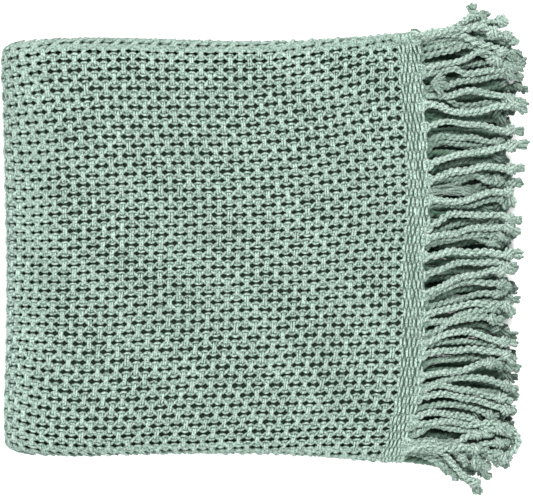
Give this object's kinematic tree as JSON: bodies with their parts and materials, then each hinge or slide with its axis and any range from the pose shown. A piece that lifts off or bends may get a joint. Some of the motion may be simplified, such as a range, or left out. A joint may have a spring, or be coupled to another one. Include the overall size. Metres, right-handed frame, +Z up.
{
  "type": "folded throw blanket",
  "caption": "Open-weave cotton throw folded to a soft square stack, with a heading band and a knotted rope fringe at each end; lies flat on any surface.",
  "frame": {"origin": "centre of the bounding box at the level of the surface that the folded throw lies on", "axes": "+X from the folded end towards the fringes, +Y across the throw towards its softly rounded back fold, +Z up"},
  "size_m": [0.502, 0.4716, 0.0569],
  "materials": {
    "cloth": "soft matt cotton yarn in an open gauze weave, pale grey-green",
    "fringe": "soft matt cotton, tight heading band and twisted ropes with knots, pale grey-green"
  },
  "bodies": {
    "root": {"woven_panel": "cloth", "fringe_upper": "fringe", "fringe_lower": "fringe"}
  },
  "joints": []
}
